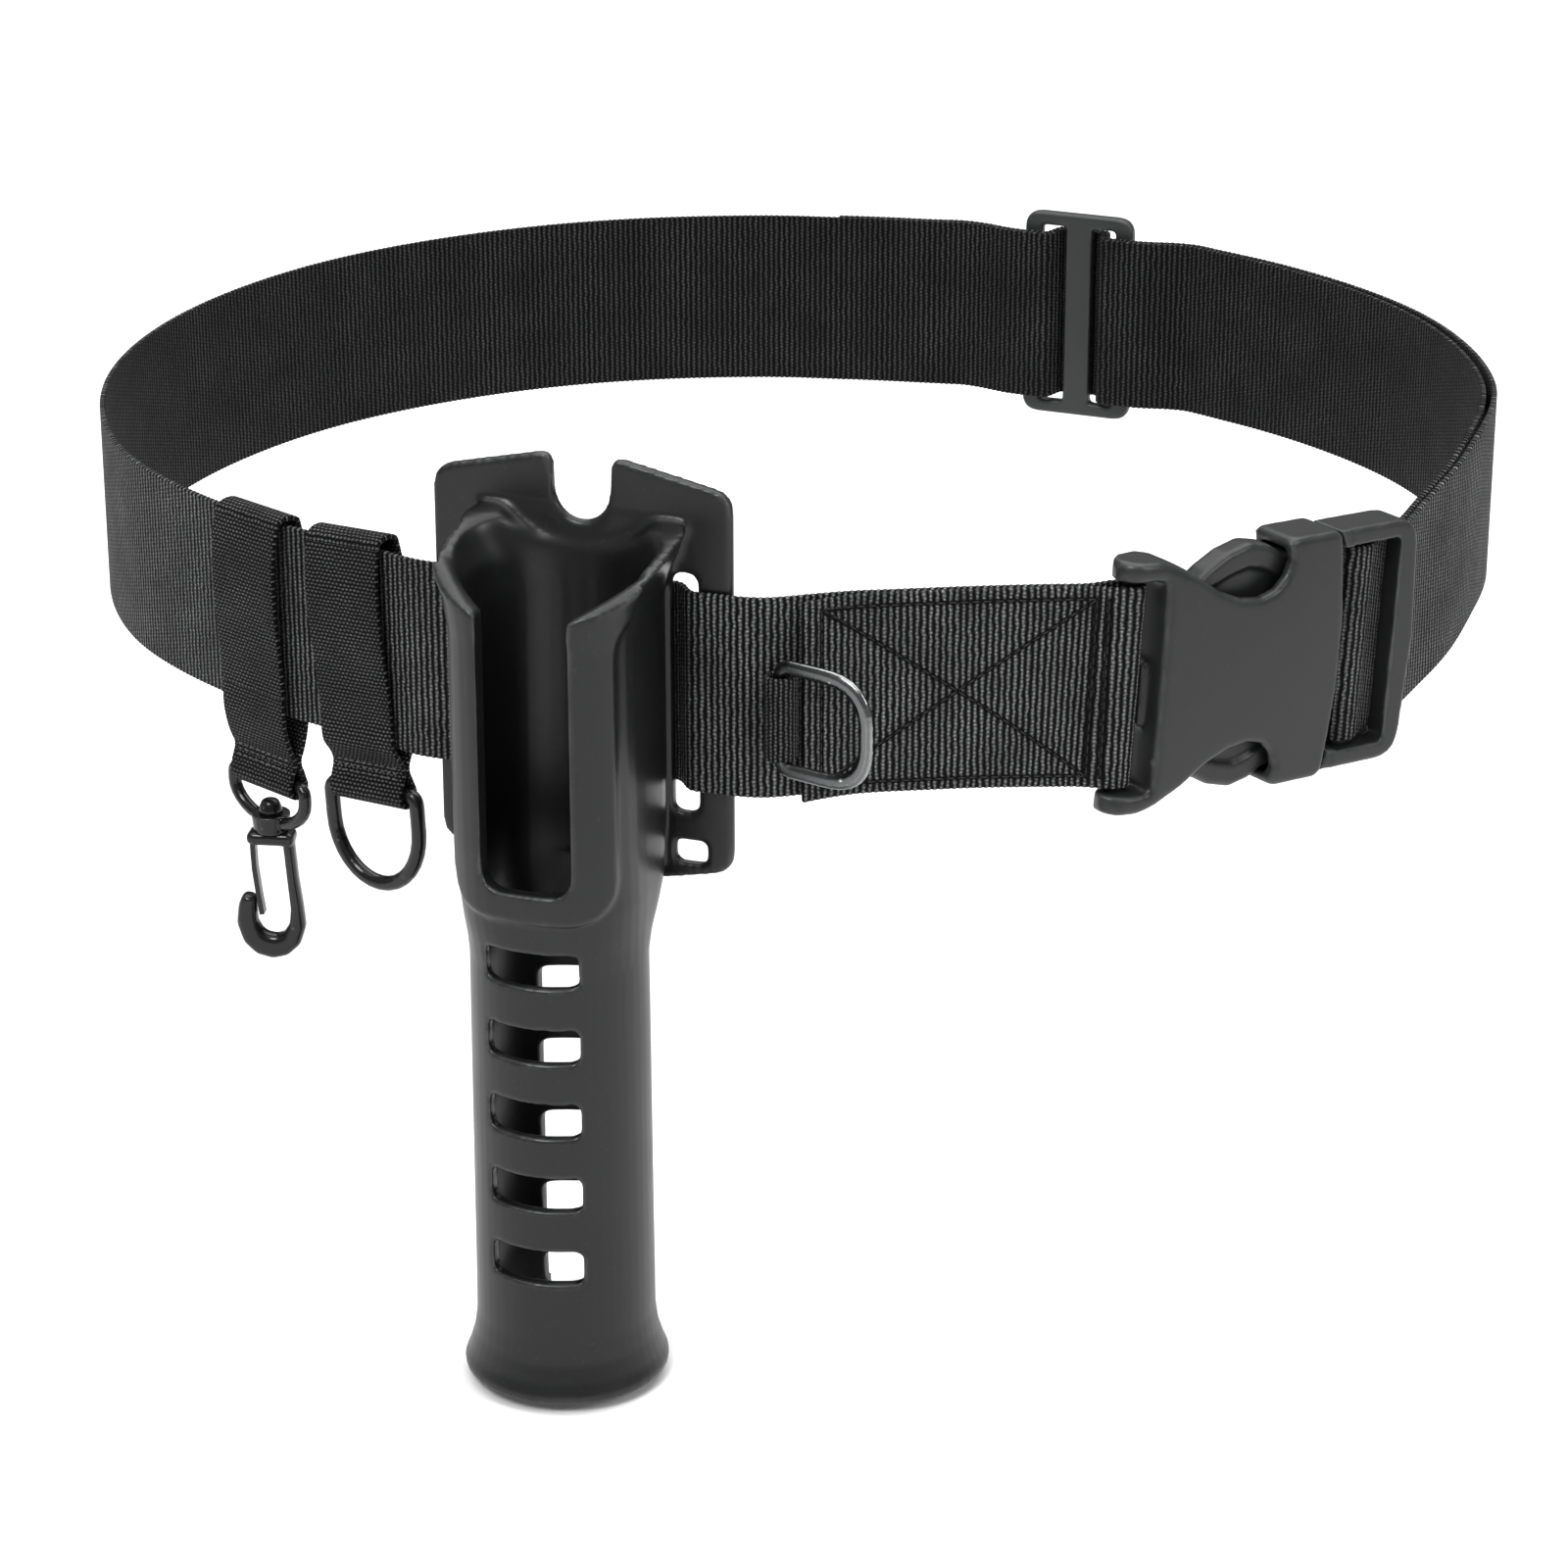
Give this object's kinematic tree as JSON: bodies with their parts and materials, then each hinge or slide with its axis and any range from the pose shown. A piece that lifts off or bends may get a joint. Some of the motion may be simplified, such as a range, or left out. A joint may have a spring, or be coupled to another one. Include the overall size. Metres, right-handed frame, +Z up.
{
  "type": "fishing fighting belt",
  "caption": "Adjustable webbing waist belt with a moulded rod holder, side-release buckle, slider, hanging ring, snap hook and metal side ring.",
  "frame": {"origin": "middle of the waist loop, level with the middle of the strap's width", "axes": "+Z up, +X to the right seen from the front, +Y toward the back of the wearer; the front of the belt is on -Y"},
  "size_m": [0.3672, 0.3602, 0.2264],
  "materials": {
    "webbing": "black woven nylon webbing with cross ribs",
    "plastic": "black satin moulded plastic",
    "gunmetal": "polished dark gunmetal"
  },
  "bodies": {
    "belt": {"waist_strap": "webbing", "rod_holder": "plastic", "buckle_female": "plastic", "buckle_male": "plastic", "slider": "plastic", "ring_hanger": "webbing", "hook_hanger": "webbing", "side_ring_tab": "webbing"},
    "hanging_ring": {"hanging_ring": "plastic"},
    "hook_eye": {"hook_eye": "plastic"},
    "snap_hook": {"snap_hook": "plastic"},
    "hook_gate": {"hook_gate": "plastic"},
    "side_ring": {"side_ring": "gunmetal"}
  },
  "joints": [
    {"name": "hanging_ring_swing", "type": "hinge", "parent": "belt", "child": "hanging_ring", "pos_m": [-0.10427, -0.13014, -0.038], "axis": [0.8219, -0.5664, 0.0611], "range_deg": [-120, 120]},
    {"name": "hook_eye_swing", "type": "hinge", "parent": "belt", "child": "hook_eye", "pos_m": [-0.13198, -0.10923, -0.0433], "axis": [0.7341, -0.679, 0], "range_deg": [-120, 120]},
    {"name": "snap_hook_swivel", "type": "hinge", "parent": "hook_eye", "child": "snap_hook", "pos_m": [-0.13198, -0.10923, -0.06], "axis": [0, 0, 1], "continuous": true},
    {"name": "hook_gate_hinge", "type": "hinge", "parent": "snap_hook", "child": "hook_gate", "pos_m": [-0.13673, -0.10867, -0.061], "axis": [-0.1178, -0.993, 0], "range_deg": [0, 20], "stiffness_Nm_per_rad": 0.002, "springref_deg": -11.46},
    {"name": "side_ring_swing", "type": "hinge", "parent": "belt", "child": "side_ring", "pos_m": [-0.0053, -0.17157, -0.003], "axis": [0, 0, 1], "range_deg": [-150, 40]}
  ]
}
